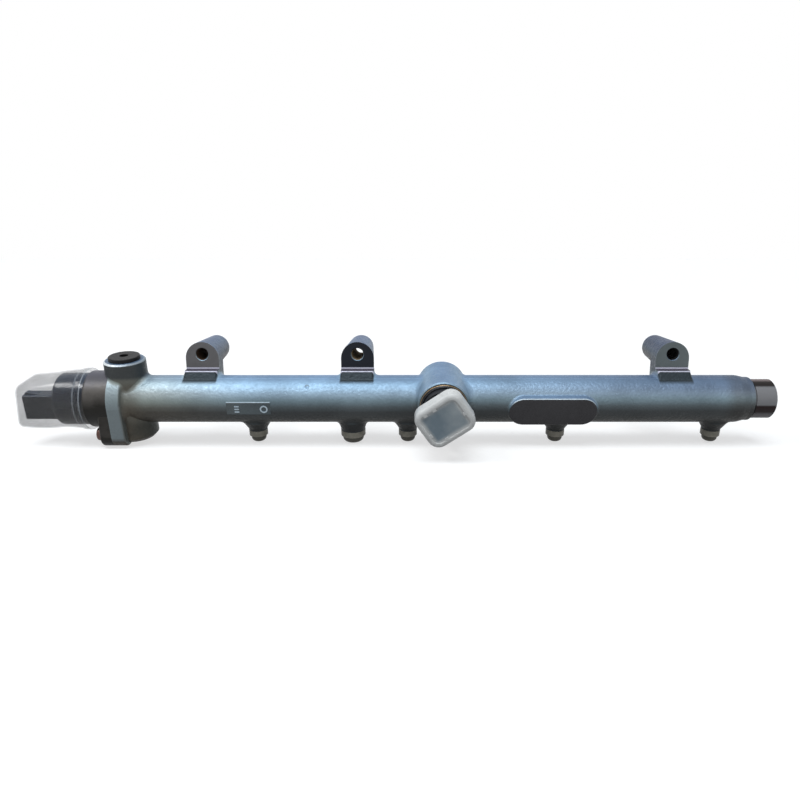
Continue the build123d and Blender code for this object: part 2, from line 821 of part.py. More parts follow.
# The seat of the middle bolt hole is the origin
to_origin = Pos(-bolt_x, -(boss_face_y + boss_length), -bolt_height)
os.makedirs("parts", exist_ok=True)
for name, shape in all_parts().items():
    export_step(to_origin * shape, f"parts/{name}.step")
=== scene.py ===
import json
import math

import bpy
import bmesh
from mathutils import Matrix, Vector


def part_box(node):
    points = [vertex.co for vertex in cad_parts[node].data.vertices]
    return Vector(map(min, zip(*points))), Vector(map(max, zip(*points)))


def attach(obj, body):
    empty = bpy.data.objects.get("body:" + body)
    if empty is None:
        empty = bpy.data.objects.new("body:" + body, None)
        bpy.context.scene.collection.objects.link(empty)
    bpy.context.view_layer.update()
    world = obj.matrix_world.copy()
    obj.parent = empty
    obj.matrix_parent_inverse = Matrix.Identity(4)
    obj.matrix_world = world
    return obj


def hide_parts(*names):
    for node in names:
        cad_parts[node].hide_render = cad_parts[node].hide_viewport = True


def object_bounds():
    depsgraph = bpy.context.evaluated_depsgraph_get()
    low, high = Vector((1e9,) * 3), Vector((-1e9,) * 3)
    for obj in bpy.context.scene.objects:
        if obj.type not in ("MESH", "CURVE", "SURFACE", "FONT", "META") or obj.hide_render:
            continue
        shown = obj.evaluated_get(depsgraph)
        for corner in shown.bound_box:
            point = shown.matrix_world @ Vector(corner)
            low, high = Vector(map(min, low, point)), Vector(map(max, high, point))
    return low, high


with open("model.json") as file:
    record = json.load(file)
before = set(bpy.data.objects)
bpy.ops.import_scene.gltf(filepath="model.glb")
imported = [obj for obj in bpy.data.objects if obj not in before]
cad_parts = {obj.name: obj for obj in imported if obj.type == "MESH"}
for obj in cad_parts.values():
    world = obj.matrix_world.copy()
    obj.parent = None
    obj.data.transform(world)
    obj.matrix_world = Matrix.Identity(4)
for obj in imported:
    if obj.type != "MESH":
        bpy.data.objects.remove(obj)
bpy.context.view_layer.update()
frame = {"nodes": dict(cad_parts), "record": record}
nodes = frame["nodes"]
mounts = {mount["name"]: mount for mount in frame["record"]["mounts"]}


def middle(node):
    low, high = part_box(node)
    return (low + high) / 2


def addObject(name, data):
    thing = bpy.data.objects.new(name, data)
    bpy.context.scene.collection.objects.link(thing)
    return thing


def startMaterial(name):
    material = bpy.data.materials.new(name)
    material.use_nodes = True
    tree = material.node_tree
    return material, tree, tree.nodes["Principled BSDF"]


def fill(tree, socket, value):
    # A socket takes a number, a colour or another node's output
    if isinstance(value, (int, float)):
        socket.default_value = value
    elif isinstance(value, tuple):
        socket.default_value = (*value, 1)
    else:
        tree.links.new(value, socket)


def combine(tree, operation, *values):
    node = tree.nodes.new("ShaderNodeMath")
    node.operation = operation
    for value, socket in zip(values, node.inputs):
        fill(tree, socket, value)
    return node.outputs[0]


railAxis = (0, *middle("valve_clear_cap").yz)  # the valve and its cap lie on the rail's axis
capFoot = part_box("valve_clear_cap")[1].x
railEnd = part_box("rail_body")[1].x

print("camera")

view = {"targetX": 0.0357, "distance": 0.43, "tilt": 12, "lens": 30.33, "sensor": 36, "nearest": 0.01,
        "shiftX": -0.0175, "shiftY": -0.002}


def makeCamera():
    tilt = math.radians(view["tilt"])
    data = bpy.data.cameras.new("camera")
    data.sensor_width = view["sensor"]
    data.lens = view["lens"]
    data.shift_x = view["shiftX"]
    data.shift_y = view["shiftY"]
    data.clip_start = view["nearest"]
    camera = addObject("camera", data)
    away = Vector((0, -math.cos(tilt), math.sin(tilt)))
    camera.location = Vector((view["targetX"], *railAxis[1:])) + view["distance"] * away
    camera.rotation_euler = (math.pi / 2 - tilt, 0, 0)
    bpy.context.scene.camera = camera


makeCamera()

print("floor and light")

studio = {"floorSize": 40.0, "floorGap": 0.0005, "floorPaint": 0.42, "floorGlow": 0.62,
          "floorBounce": 0.22, "worldColour": (0.86, 0.91, 1.0), "worldStrength": 0.32}
strip = {"place": (-0.66, -0.34, 0.80), "target": (-0.19, -0.04, -0.02), "size": (0.34, 0.14), "power": 3.2}
suns = {
    "overhead": {"elevation": 68, "turn": -12, "strength": 2.1, "softness": 40, "colour": (0.92, 0.97, 1.0)},
    "front": {"elevation": 22, "turn": 20, "strength": 0.45, "softness": 50, "colour": (1.0, 0.98, 0.95)},
}


def seenDirectly(tree):
    # 1 where the eye, a reflection or clear plastic meets the surface
    path = tree.nodes.new("ShaderNodeLightPath")
    seen, *others = [path.outputs[name] for name in ("Is Camera Ray", "Is Glossy Ray", "Is Transmission Ray")]
    for ray in others:
        seen = combine(tree, "MAXIMUM", seen, ray)
    return seen


def splitLight(tree, unseen, seen, end):
    # One shader for what lights the object, another for what is looked at
    mix = tree.nodes.new("ShaderNodeMixShader")
    tree.links.new(seenDirectly(tree), mix.inputs[0])
    tree.links.new(unseen.outputs[0], mix.inputs[1])
    tree.links.new(seen.outputs[0], mix.inputs[2])
    tree.links.new(mix.outputs[0], tree.nodes[end].inputs["Surface"])


def makeWorld():
    world = bpy.data.worlds.new("studio")
    world.use_nodes = True
    tree = world.node_tree
    light = tree.nodes["Background"]
    light.inputs["Color"].default_value = (*studio["worldColour"], 1)
    light.inputs["Strength"].default_value = studio["worldStrength"]
    white = tree.nodes.new("ShaderNodeBackground")
    white.inputs["Color"].default_value = (1, 1, 1, 1)
    splitLight(tree, light, white, "World Output")
    bpy.context.scene.world = world


def makeFloor():
    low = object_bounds()[0][2]
    mesh = bpy.data.meshes.new("floor")
    shape = bmesh.new()
    bmesh.ops.create_grid(shape, x_segments=1, y_segments=1, size=studio["floorSize"] / 2)
    bmesh.ops.translate(shape, verts=shape.verts, vec=(0, 0, low - studio["floorGap"]))
    shape.to_mesh(mesh)
    shape.free()
    floor = addObject("floor", mesh)
    material, tree, paint = startMaterial("paleFloor")
    paint.inputs["Base Color"].default_value = (*[studio["floorPaint"]] * 3, 1)
    paint.inputs["Roughness"].default_value = 1
    paint.inputs["Specular IOR Level"].default_value = 0
    paint.inputs["Emission Color"].default_value = (1, 1, 1, 1)
    paint.inputs["Emission Strength"].default_value = studio["floorGlow"]
    bounce = tree.nodes.new("ShaderNodeBsdfDiffuse")
    bounce.inputs["Color"].default_value = (*[studio["floorBounce"]] * 3, 1)
    splitLight(tree, bounce, paint, "Material Output")
    mesh.materials.append(material)


def makeStrip():
    # A small soft lamp that gives the plastics their gloss
    data = bpy.data.lights.new("strip", "AREA")
    data.shape = "RECTANGLE"
    data.size, data.size_y = strip["size"]
    data.energy = strip["power"]
    lamp = addObject("strip", data)
    lamp.location = strip["place"]
    aim = Vector(strip["target"]) - Vector(strip["place"])
    lamp.rotation_euler = aim.to_track_quat("-Z", "Y").to_euler()


def makeSun(name, plan):
    data = bpy.data.lights.new(name, "SUN")
    data.energy = plan["strength"]
    data.angle = math.radians(plan["softness"])
    data.color = plan["colour"]
    lamp = addObject(name, data)
    lamp.rotation_euler = (math.radians(90 - plan["elevation"]), 0, math.radians(plan["turn"]))


makeWorld()
makeFloor()
makeStrip()
for name, plan in suns.items():
    makeSun(name, plan)

print("materials")

noiseLow, noiseHigh = 0.3, 0.7  # where most of a noise's values lie
grainDetail = 3


def coordinates(tree):
    node = tree.nodes.new("ShaderNodeTexCoord")
    return node.outputs["Object"], node.outputs["Normal"]


def parts(tree, vector):
    node = tree.nodes.new("ShaderNodeSeparateXYZ")
    tree.links.new(vector, node.inputs[0])
    return node.outputs


def fade(tree, value, start, end, low=0.0, high=1.0):
    # Goes smoothly from low at the start to high at the end
    node = tree.nodes.new("ShaderNodeMapRange")
    node.interpolation_type = "SMOOTHSTEP"
    for name, number in (("From Min", start), ("From Max", end), ("To Min", low), ("To Max", high)):
        node.inputs[name].default_value = number
    tree.links.new(value, node.inputs["Value"])
    return node.outputs["Result"]


def varied(tree, texture, low, high):
    # A noise spread over the range from low to high
    return fade(tree, texture, noiseLow, noiseHigh, low, high)


def both(tree, *masks):
    whole = masks[0]
    for mask in masks[1:]:
        whole = combine(tree, "MULTIPLY", whole, mask)
    return whole


def band(tree, value, low, high, soft):
    # 1 between low and high
    return both(tree, fade(tree, value, low - soft, low + soft),
                fade(tree, value, high - soft, high + soft, 1, 0))


def distance(tree, first, second):
    # From the middle, in the plane of two coordinates
    squares = [combine(tree, "MULTIPLY", value, value) for value in (first, second)]
    return combine(tree, "SQRT", combine(tree, "ADD", *squares))


def along(tree, place, origin, axis):
    # Distance from the origin along an axis
    node = tree.nodes.new("ShaderNodeVectorMath")
    node.operation = "DOT_PRODUCT"
    tree.links.new(place, node.inputs[0])
    node.inputs[1].default_value = axis
    return combine(tree, "SUBTRACT", node.outputs["Value"], Vector(origin).dot(Vector(axis)))


def noise(tree, place, scale, detail=4, roughness=0.6):
    node = tree.nodes.new("ShaderNodeTexNoise")
    node.inputs["Scale"].default_value = scale
    node.inputs["Detail"].default_value = detail
    node.inputs["Roughness"].default_value = roughness
    tree.links.new(place, node.inputs["Vector"])
    return node.outputs["Fac"]


def ramp(tree, value, stops):
    node = tree.nodes.new("ShaderNodeValToRGB")
    elements = node.color_ramp.elements
    while len(elements) < len(stops):
        elements.new(0.5)
    for element, (position, colour) in zip(elements, stops):
        element.position = position
        element.color = (*colour, 1)
    tree.links.new(value, node.inputs["Fac"])
    return node.outputs["Color"]


def blendColour(tree, factor, first, second, kind="MIX"):
    # A Mix node's colours are its inputs 6 and 7, its numbers 2 and 3
    node = tree.nodes.new("ShaderNodeMix")
    node.data_type = "RGBA"
    node.blend_type = kind
    for value, index in ((factor, 0), (first, 6), (second, 7)):
        fill(tree, node.inputs[index], value)
    return node.outputs[2]


def blendNumber(tree, factor, first, second):
    node = tree.nodes.new("ShaderNodeMix")
    for value, index in ((factor, 0), (first, 2), (second, 3)):
        fill(tree, node.inputs[index], value)
    return node.outputs[0]


def tinted(tree, mask, colour, tint):
    # The colour multiplied by the tint where the mask says so
    return blendColour(tree, mask, colour, blendColour(tree, 1.0, colour, tint, "MULTIPLY"))


def bump(tree, value, height, normal=None):
    node = tree.nodes.new("ShaderNodeBump")
    node.inputs["Distance"].default_value = height
    tree.links.new(value, node.inputs["Height"])
    if normal:
        tree.links.new(normal, node.inputs["Normal"])
    return node.outputs["Normal"]


def upwardness(tree, normal):
    # 0 where the surface faces down, 1 where it faces up
    return combine(tree, "MULTIPLY_ADD", parts(tree, normal)[2], 0.5, 0.5)


def grained(tree, shader, place, grain, height, roughness):
    # Fine grain in the gloss and the relief; roughness is its lowest and highest value
    fine = noise(tree, place, grain, grainDetail)
    tree.links.new(varied(tree, fine, *roughness), shader.inputs["Roughness"])
    tree.links.new(bump(tree, fine, height), shader.inputs["Normal"])


plainLook = {"cloudScale": 90, "spread": 0.06}


def plainFinish(name, dark, light, roughness, metallic=0.0, grain=1500, height=0.00003):
    material, tree, shader = startMaterial(name)
    place = coordinates(tree)[0]
    cloud = noise(tree, place, plainLook["cloudScale"])
    tree.links.new(ramp(tree, cloud, ((noiseLow, dark), (noiseHigh, light))), shader.inputs["Base Color"])
    spread = plainLook["spread"]
    grained(tree, shader, place, grain, height, (roughness - spread, roughness + spread))
    shader.inputs["Metallic"].default_value = metallic
    return material


paintedShadeLook = {"cloudScale": 70, "cloudShare": 0.05, "spread": 0.06}


def paintedShadeFinish(name, slopes, roughness, gloss, metallic=0.0, grain=1500, height=0.00003):
    # A finish with painted shade and light: its colour is lighter where it faces up and darker where it faces
    # down
    material, tree, shader = startMaterial(name)
    place, normal = coordinates(tree)
    cloud = varied(tree, noise(tree, place, paintedShadeLook["cloudScale"]), -paintedShadeLook["cloudShare"],
                   paintedShadeLook["cloudShare"])
    slope = combine(tree, "ADD", upwardness(tree, normal), cloud)
    tree.links.new(ramp(tree, slope, slopes), shader.inputs["Base Color"])
    spread = paintedShadeLook["spread"]
    grained(tree, shader, place, grain, height, (roughness - spread, roughness + spread))
    shader.inputs["Metallic"].default_value = metallic
    shader.inputs["Specular IOR Level"].default_value = gloss
    return material


# Lengths are metres and places x, y and z from the middle bolt hole; a pair is where a fade starts and ends
forging = {
    # Painted shade and highlight: the colour by how far the surface faces up, darkest underneath and
    # brightest a little below the top
    "slopes": ((0.1, (0.034, 0.037, 0.037)), (0.3, (0.046, 0.051, 0.054)), (0.42, (0.085, 0.105, 0.115)),
               (0.56, (0.15, 0.21, 0.245)), (0.68, (0.235, 0.325, 0.41)), (0.88, (0.23, 0.36, 0.50)),
               (1.0, (0.16, 0.26, 0.41))),
    "shiftX": (0.02, 0.10), "shift": 0.035,
    "warmX": (-0.06, -0.14), "warmTint": (1.28, 1.05, 0.84),
    # Painted falloff of the light: the upward faces darken towards the far end
    "dullX": (-0.04, 0.24), "dullSlope": (0.5, 0.8), "dullTint": (0.42, 0.40, 0.44),
    "collarToEnd": (0.0355, 0.0255), "collarTint": (0.72, 0.66, 0.62),
    "patches": (34, 5), "patchShade": (0.84, 1.14),
    "pebbles": (620, 3, 0.5), "dimples": (190, 4, 0.55),  # each noise's scale, detail and roughness
    "pebbleHeight": 0.00030, "dimpleHeight": 0.00022,
    "metal": 0.35, "roughness": (0.36, 0.52), "gloss": 0.2,
    "overTube": (0.0152, 0.0155), "underTube": (0.0145, 0.0148),
    "flashAngle": 22, "flashWidth": 1.3, "flashTint": (1.35, 1.35, 1.35), "flashHeight": 0.0002,
    "machinedMetal": 0.25, "machinedRoughness": 0.5, "machinedRelief": 0.04, "boreRoughness": 0.9,
}


def railDirection(degrees):
    # Square to the rail, counted from straight up towards the front
    turn = math.radians(degrees)
    return Vector((0, -math.sin(turn), math.cos(turn)))


def fromAxis(tree, place, degrees):
    return along(tree, place, railAxis, railDirection(degrees))


def railPlaces(tree):
    # Where a point of the forging lies and how it faces, as sockets by name
    place, normal = coordinates(tree)
    at = {"place": place}
    at["x"], at["y"], at["z"] = parts(tree, place)
    at["faceY"], at["faceZ"] = parts(tree, normal)[1:]
    at["toEnd"] = combine(tree, "SUBTRACT", railEnd, at["x"])
    shift = fade(tree, at["x"], *forging["shiftX"], 0, forging["shift"])
    at["slope"] = combine(tree, "SUBTRACT", upwardness(tree, normal), shift)
    toFront = combine(tree, "SUBTRACT", railAxis[1], at["y"])
    up = combine(tree, "SUBTRACT", at["z"], railAxis[2])
    at["angle"] = combine(tree, "MULTIPLY", combine(tree, "ARCTAN2", toFront, up), 180 / math.pi)
    at["radius"] = distance(tree, toFront, up)
    at["patches"] = noise(tree, place, *forging["patches"])
    return at


def flashLine(tree, at):
    # Where the forging dies met along the tube
    onTube = both(tree, fade(tree, at["radius"], *forging["overTube"], 1, 0),
                  fade(tree, at["radius"], *forging["underTube"]))
    centre, half = forging["flashAngle"], forging["flashWidth"] / 2
    return both(tree, onTube, band(tree, at["angle"], centre - half, centre + half, half))


def zincCoat(tree, at, flash):
    # Painted shade and highlight by how far the surface faces up, warmer at the valve end, the highlight
    # dimmed towards the other end as a painted falloff of the light, and darker at the collar
    colour = ramp(tree, at["slope"], forging["slopes"])
    colour = tinted(tree, fade(tree, at["x"], *forging["warmX"]), colour, forging["warmTint"])
    # Painted falloff of the light towards the far end
    fadingLight = both(tree, fade(tree, at["x"], *forging["dullX"]), fade(tree, at["slope"], *forging["dullSlope"]))
    colour = tinted(tree, fadingLight, colour, forging["dullTint"])
    colour = tinted(tree, fade(tree, at["toEnd"], *forging["collarToEnd"]), colour, forging["collarTint"])
    shade = varied(tree, at["patches"], *forging["patchShade"])
    colour = blendColour(tree, 1.0, colour, shade, "MULTIPLY")
    return tinted(tree, flash, colour, forging["flashTint"])


# The flange's back is counted from the cap's foot, and every reach from the flange's back
valveEnd = {
    "flangeBack": 0.0240,
    # Painted shade low down beside the flange, on the lower boss
    "underReach": (0, 0.0004), "underZ": (-0.037, -0.045), "underTint": (0.36, 0.36, 0.36),
    # Painted shade on the sides of the boss beside the flange that don't face up
    "upperReach": (0.0186, 0.0146), "upperZ": (-0.0150, -0.0120), "upperFace": (0.9, 0.7),
    "upperTint": (0.40, 0.43, 0.50),
    # Painted brownish shade, patchy, in the corner low down beside the flange
    "stainStart": (-0.0012, 0.0006), "stainReach": (0.0146, 0.0046), "stainZ": (-0.0150, -0.0190),
    "stainPatch": (0.35, 0.6), "stainSlope": (0.85, 0.6), "stainShare": 0.6, "stain": (0.085, 0.072, 0.055),
    "flangeReach": (0.0006, -0.0012), "flangeZ": (-0.0150, -0.0190), "flangeSlope": (0.2, 0.45),
    "flangeShare": 0.6, "flange": (0.185, 0.235, 0.265),
}


def valveEndColour(tree, at, colour):
    # Painted shade low on the lower boss and on the sides of the boss beside the flange, a patchy brownish
    # painted shade in the corner, and the paler flange
    reach = combine(tree, "SUBTRACT", at["x"], capFoot + valveEnd["flangeBack"])
    under = both(tree, fade(tree, reach, *valveEnd["underReach"]), fade(tree, at["z"], *valveEnd["underZ"]))
    colour = tinted(tree, under, colour, valveEnd["underTint"])
    upper = both(tree, fade(tree, reach, *valveEnd["upperReach"]), fade(tree, at["z"], *valveEnd["upperZ"]),
                 fade(tree, at["faceZ"], *valveEnd["upperFace"]))
    colour = tinted(tree, upper, colour, valveEnd["upperTint"])
    # Painted brownish shade in the corner beside the flange
    cornerShaded = both(tree, fade(tree, reach, *valveEnd["stainStart"]),
                   fade(tree, reach, *valveEnd["stainReach"]),
                   fade(tree, at["patches"], *valveEnd["stainPatch"]),
                   fade(tree, at["z"], *valveEnd["stainZ"]),
                   fade(tree, at["slope"], *valveEnd["stainSlope"]), valveEnd["stainShare"])
    colour = blendColour(tree, cornerShaded, colour, valveEnd["stain"])
    flange = both(tree, fade(tree, reach, *valveEnd["flangeReach"]),
                  fade(tree, at["z"], *valveEnd["flangeZ"]),
                  fade(tree, at["slope"], *valveEnd["flangeSlope"]), valveEnd["flangeShare"])
    return blendColour(tree, flange, colour, valveEnd["flange"])


returnBoss = {"angle": 10, "top": (0.0254, 0.0266), "inner": (0.0116, 0.0114),
              # The rim is bright turned metal with a painted highlight, strongest towards the valve end
              "innerTint": (0.45, 0.5, 0.6), "rim": (0.0114, 0.0128), "rimX": (-0.140, -0.150),
              "rimLeast": 0.25, "rimColour": (0.6, 0.64, 0.66), "soft": 0.0001}


def returnBossColour(tree, at, colour):
    # A bright turned rim, painted brighter towards the valve end as a highlight, round a darker top
    height = fromAxis(tree, at["place"], returnBoss["angle"])
    sideways = fromAxis(tree, at["place"], returnBoss["angle"] + 90)
    radius = distance(tree, sideways, combine(tree, "SUBTRACT", at["x"], middle("return_plug").x))
    top = band(tree, height, *returnBoss["top"], returnBoss["soft"])
    inner = both(tree, top, fade(tree, radius, *returnBoss["inner"]))
    colour = tinted(tree, inner, colour, returnBoss["innerTint"])
    rim = both(tree, top, band(tree, radius, *returnBoss["rim"], returnBoss["soft"]),
               fade(tree, at["x"], *returnBoss["rimX"], returnBoss["rimLeast"], 1))
    return blendColour(tree, rim, colour, returnBoss["rimColour"])


labelPad = {"left": 0.0940, "right": 0.1494, "soft": 0.0003, "angle": 110,
            "edge": (0.0156, 0.0162), "edgeSoft": 0.0002, "edgeAloft": (0.004, 0.007),
            "edgeColour": (0.42, 0.49, 0.54), "face": (0.0162, 0.0163), "lift": 12,
            "faceColours": ((0.35, (0.026, 0.025, 0.027)), (0.7, (0.042, 0.041, 0.044)))}


def labelPadColour(tree, at, colour):
    # A darker face, its tone varied at random and painted lighter towards its top as shade, below a rounded
    # upper edge painted pale as a highlight
    onPad = band(tree, at["x"], labelPad["left"], labelPad["right"], labelPad["soft"])
    rise = fromAxis(tree, at["place"], labelPad["angle"])
    aloft = fromAxis(tree, at["place"], labelPad["angle"] - 90)
    # Painted highlight along the pad's upper edge
    edge = both(tree, onPad, band(tree, rise, *labelPad["edge"], labelPad["edgeSoft"]),
                fade(tree, aloft, *labelPad["edgeAloft"]))
    colour = blendColour(tree, edge, colour, labelPad["edgeColour"])
    # The face is painted lighter towards its top as shade, over a random tone
    paintedLightHeight = combine(tree, "ADD", at["patches"], combine(tree, "MULTIPLY", aloft, labelPad["lift"]))
    face = both(tree, onPad, fade(tree, rise, *labelPad["face"]))
    return blendColour(tree, face, colour, ramp(tree, paintedLightHeight, labelPad["faceColours"]))


# The pale colour is a painted highlight, on the marks' tops and on the land's upper edge
land = {"left": -0.0802, "right": -0.0532, "angle": 102.5, "light": (0.42, 0.5, 0.56),
        "markSoft": 0.0003, "markRise": (0.01515, 0.01530), "markZ": (-0.0366, -0.0270), "markEdge": 0.0002,
        "edgeSoft": 0.0002, "edgeY": (-0.049, -0.0495), "edgeZ": (-0.02795, -0.02735), "edgeFade": 0.00015}


def landColour(tree, at, colour):
    # Painted highlights: the pale tops of the two marks, and the land's pale upper edge
    marks = both(tree, band(tree, at["x"], land["left"], land["right"], land["markSoft"]),
                 fade(tree, fromAxis(tree, at["place"], land["angle"]), *land["markRise"]),
                 band(tree, at["z"], *land["markZ"], land["markEdge"]))
    colour = blendColour(tree, marks, colour, land["light"])
    edge = both(tree, band(tree, at["x"], land["left"], land["right"], land["edgeSoft"]),
                fade(tree, at["y"], *land["edgeY"]), band(tree, at["z"], *land["edgeZ"], land["edgeFade"]))
    return blendColour(tree, edge, colour, land["light"])


# Every depth is counted back from the machined face
bosses = {
    "halfWidth": 0.0106, "faceY": -0.034, "sharp": 0.0001, "blurred": 0.0006,
    "barrelDepth": (0.0002, 0.0004), "barrelZ": (-0.0133, -0.0105), "barrelTint": (0.43, 0.43, 0.50),
    # The sloping step of each boss is painted dark as shade
    "stepDepth": (-0.0048, -0.0052), "stepZ": (-0.0178, -0.0152), "stepTop": (-0.0092, -0.0096),
    "stepColour": (0.016, 0.024, 0.030),
    "ledgeUp": (0.9, 0.96), "ledgeDepth": (0.0005, 0.0002), "ledgeZ": (-0.0108, -0.0090),
    "ledgeColour": (0.04, 0.035, 0.05),
    "shineRadius": (0.01515, 0.0154), "shineDepth": (-0.0052, -0.0042), "shineSoft": 0.0002,
    "shineZ": (-0.0115, -0.0090), "shineColour": (0.5, 0.5, 0.6),
    "faceFront": (-0.93, -0.98), "faceDepth": (-0.0003, 0.0003), "faceZ": (-0.0097, -0.0095),
    "faceFoot": (-0.0082, -0.0086), "faceLight": 1.25, "faceDark": 0.6,
    "boreMargin": 0.00005, "boreSoft": 0.00002,
    # Each boss's face and bore colours are painted light and shade: the same machined steel lit differently
    # at each boss
    "colours": {
        "bolt_hole_left": {"face": (0.125, 0.122, 0.125), "bore": (0.07, 0.042, 0.025)},
        "bolt_hole_middle": {"face": (0.009, 0.011, 0.017), "bore": (0.33, 0.25, 0.16)},
        "bolt_hole_right": {"face": (0.115, 0.135, 0.14), "bore": (0.01, 0.01, 0.011)},
    },
}


def bossColour(tree, at, colour):
    # Bolt bosses: barrel, sloping step in painted shade, ledge, machined face and bore, with a painted shine;
    # each face and bore carries its own painted light and shade
    x, z, sharp = at["x"], at["z"], bosses["sharp"]
    depth = combine(tree, "SUBTRACT", at["y"], bosses["faceY"])
    barrel = both(tree, fade(tree, depth, *bosses["barrelDepth"]), fade(tree, z, *bosses["barrelZ"]))
    step = both(tree, fade(tree, depth, *bosses["stepDepth"]), fade(tree, z, *bosses["stepZ"]),
                fade(tree, z, *bosses["stepTop"]))
    ledge = both(tree, fade(tree, at["faceZ"], *bosses["ledgeUp"]), band(tree, z, *bosses["ledgeZ"], sharp),
                 fade(tree, depth, *bosses["ledgeDepth"]))
    shine = both(tree, fade(tree, at["radius"], *bosses["shineRadius"]),
                 band(tree, z, *bosses["shineZ"], sharp),
                 band(tree, depth, *bosses["shineDepth"], bosses["shineSoft"]))
    plane = both(tree, band(tree, depth, *bosses["faceDepth"], sharp),
                 fade(tree, at["faceY"], *bosses["faceFront"]), fade(tree, z, *bosses["faceZ"]))
    faces = bores = 0
    for name, colours in bosses["colours"].items():
        hole = mounts[name]
        holeX = hole["pos_m"][0]
        holeRadius = hole["dims"]["r_mm"] / 1000 + bosses["boreMargin"]
        left, right = holeX - bosses["halfWidth"], holeX + bosses["halfWidth"]
        here = band(tree, x, left, right, sharp)
        near = band(tree, x, left, right, bosses["blurred"])
        face = both(tree, here, plane)
        bore = fade(tree, distance(tree, combine(tree, "SUBTRACT", x, holeX), z),
                    holeRadius - bosses["boreSoft"], holeRadius + bosses["boreSoft"], 1, 0)
        colour = tinted(tree, both(tree, here, barrel), colour, bosses["barrelTint"])
        layers = (
            (both(tree, near, step), bosses["stepColour"]),
            (both(tree, here, ledge), bosses["ledgeColour"]),
            (both(tree, here, shine), bosses["shineColour"]),
            (face, tuple(bosses["faceLight"] * value for value in colours["face"])),
            (both(tree, face, at["patches"]), tuple(bosses["faceDark"] * value for value in colours["face"])),
            (both(tree, face, fade(tree, z, *bosses["faceFoot"])), bosses["shineColour"]),
            (bore, colours["bore"]),
        )
        for mask, paint in layers:
            colour = blendColour(tree, mask, colour, paint)
        faces = combine(tree, "ADD", faces, face)
        bores = combine(tree, "ADD", bores, bore)
    return colour, faces, bores


# The turned spigot's bands follow how far it faces up: painted reflections
spigot = {
    "startToEnd": (0.0144, 0.0143),
    "rings": ((0.14, (0.085, 0.08, 0.085)), (0.2, (0.006, 0.002, 0.002)), (0.36, (0.008, 0.002, 0.002)),
              (0.4, (0.16, 0.162, 0.17)), (0.82, (0.15, 0.152, 0.16)), (0.86, (0.004, 0.002, 0.002)),
              (0.93, (0.006, 0.004, 0.004)), (0.97, (0.20, 0.16, 0.16))),
}


def railFinish():
    material, tree, shader = startMaterial("forgedSteel")
    at = railPlaces(tree)
    flash = flashLine(tree, at)
    colour = zincCoat(tree, at, flash)
    for painted in (valveEndColour, returnBossColour, labelPadColour, landColour):
        colour = painted(tree, at, colour)
    colour, faces, bores = bossColour(tree, at, colour)
    # Painted reflections in bands on the turned spigot
    turned = fade(tree, at["toEnd"], *spigot["startToEnd"])
    colour = blendColour(tree, turned, colour, ramp(tree, at["slope"], spigot["rings"]))
    tree.links.new(colour, shader.inputs["Base Color"])
    shader.inputs["Specular IOR Level"].default_value = forging["gloss"]
    machined = combine(tree, "MAXIMUM", faces, turned)
    metal = blendNumber(tree, machined, forging["metal"], forging["machinedMetal"])
    tree.links.new(blendNumber(tree, bores, metal, 0.0), shader.inputs["Metallic"])
    pebbles, dimples = [noise(tree, at["place"], *forging[name]) for name in ("pebbles", "dimples")]
    rough = varied(tree, pebbles, *forging["roughness"])
    rough = blendNumber(tree, machined, rough, forging["machinedRoughness"])
    tree.links.new(blendNumber(tree, bores, rough, forging["boreRoughness"]), shader.inputs["Roughness"])
    skin = fade(tree, combine(tree, "MAXIMUM", machined, bores), 0, 1, 1, forging["machinedRelief"])
    normal = bump(tree, both(tree, pebbles, skin), forging["pebbleHeight"])
    normal = bump(tree, both(tree, dimples, skin), forging["dimpleHeight"], normal)
    normal = bump(tree, flash, forging["flashHeight"], normal)
    tree.links.new(normal, shader.inputs["Normal"])
    return material


# Each rim, denser and painted pale as a highlight, starts and ends at a distance from the cap's foot
clearFilm = {"film": (0.055, 0.058, 0.066), "density": (0.215, 0.36), "turnedAway": (0.35, 1.0),
             "facingBlend": 0.3, "clouds": (45, 2, 0.4), "cloudShare": (0.85, 1.15), "relief": 0.0002,
             "roughness": 0.16, "rims": ((0, 0.0006), (0.0042, 0.0047)), "rimSoft": 0.0001,
             "rimAlpha": 0.35, "rimColour": (0.45, 0.5, 0.55)}


def clearFinish():
    # A clear thin wall, denser towards its turned-away edges and along its rim, whose pale colour is a
    # painted highlight
    material, tree, shader = startMaterial("clearPlastic")
    place = coordinates(tree)[0]
    cloud = noise(tree, place, *clearFilm["clouds"])
    facing = tree.nodes.new("ShaderNodeLayerWeight")
    facing.inputs["Blend"].default_value = clearFilm["facingBlend"]
    edge = fade(tree, facing.outputs["Facing"], *clearFilm["turnedAway"], *clearFilm["density"])
    x = parts(tree, place)[0]
    rims = combine(tree, "ADD", *[band(tree, x, capFoot - end, capFoot - start, clearFilm["rimSoft"])
                                  for start, end in clearFilm["rims"]])
    alpha = combine(tree, "MULTIPLY", edge, varied(tree, cloud, *clearFilm["cloudShare"]))
    tree.links.new(blendNumber(tree, rims, alpha, clearFilm["rimAlpha"]), shader.inputs["Alpha"])
    colour = blendColour(tree, rims, clearFilm["film"], clearFilm["rimColour"])
    tree.links.new(colour, shader.inputs["Base Color"])
    tree.links.new(bump(tree, cloud, clearFilm["relief"]), shader.inputs["Normal"])
    shader.inputs["Roughness"].default_value = clearFilm["roughness"]
    return material


